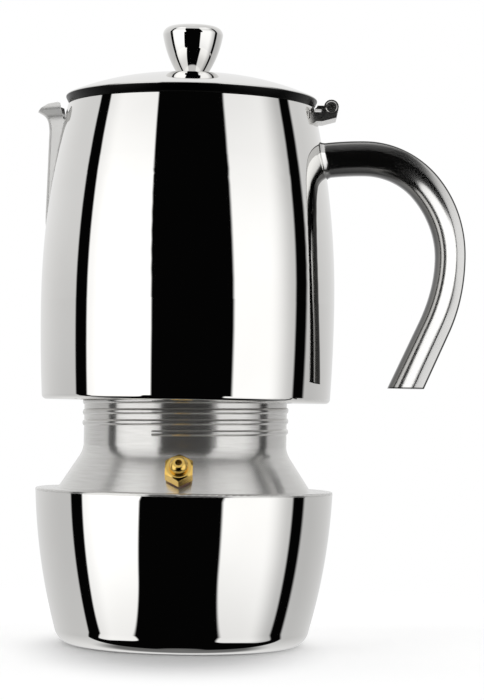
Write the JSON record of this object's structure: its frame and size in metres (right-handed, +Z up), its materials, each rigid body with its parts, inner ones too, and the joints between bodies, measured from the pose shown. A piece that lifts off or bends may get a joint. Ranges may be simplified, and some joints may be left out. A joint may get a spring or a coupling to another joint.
{
  "type": "moka pot",
  "caption": "Polished stainless moka pot: bowl-shaped boiler with a threaded neck and brass safety valve, tall collector with beak spout, hinged domed lid, knob and open hooked handle.",
  "frame": {"origin": "centre of the flat face that the pot stands on", "axes": "+Z up along the pot's axis, +X towards the handle and the lid hinge, -X towards the spout, -Y towards the safety valve"},
  "size_m": [0.1475, 0.101, 0.2111],
  "materials": {
    "polished_steel": "mirror polished stainless steel",
    "brushed_steel": "circumferentially brushed stainless steel",
    "inner_steel": "satin stainless steel",
    "brass": "machined brass",
    "fibre": "dark sealing fibre",
    "silicone": "off-white silicone"
  },
  "bodies": {
    "boiler": {"boiler_bowl": "polished_steel", "boiler_shoulder": "brushed_steel", "valve_body": "brass", "valve_washer": "fibre", "valve_nut": "brass", "valve_seat": "brass", "valve_spring": "inner_steel", "funnel_basket": "inner_steel", "funnel_stem": "inner_steel", "basket_screen": "inner_steel"},
    "relief_ball": {"valve_ball": "inner_steel"},
    "seal": {"gasket": "silicone", "filter_plate": "inner_steel"},
    "collector": {"collector_shell": "polished_steel", "collector_floor": "inner_steel", "thread_ring": "inner_steel", "chimney": "inner_steel", "chimney_cap": "inner_steel", "spout": "polished_steel", "handle_tube": "polished_steel", "handle_end_cap": "polished_steel", "hinge_bracket": "polished_steel", "hinge_pin": "polished_steel"},
    "lid": {"lid_shell": "polished_steel", "lid_hinge_tab": "polished_steel", "knob": "polished_steel", "knob_washer": "inner_steel", "knob_screw": "inner_steel"}
  },
  "joints": [
    {"name": "collector_lift", "type": "slide", "parent": "boiler", "child": "seal", "axis": [0, 0, 1], "range_m": [0, 0.0072]},
    {"name": "collector_unscrew", "type": "hinge", "parent": "seal", "child": "collector", "pos_m": [0, 0, 0.09], "axis": [0, 0, 1], "range_deg": [0, 720]},
    {"name": "lid_hinge", "type": "hinge", "parent": "collector", "child": "lid", "pos_m": [0.0477, 0, 0.183], "axis": [0, 1, 0], "range_deg": [0, 105]},
    {"name": "relief_lift", "type": "slide", "parent": "boiler", "child": "relief_ball", "axis": [0, -0.837, 0.5472], "range_m": [0, 0.001], "stiffness_N_per_m": 400, "springref_m": -0.004, "deforming": ["valve_spring"]}
  ],
  "couplings": [
    {"joint": "collector_lift", "follows": "collector_unscrew", "m_per_rad": 0.00057296}
  ]
}
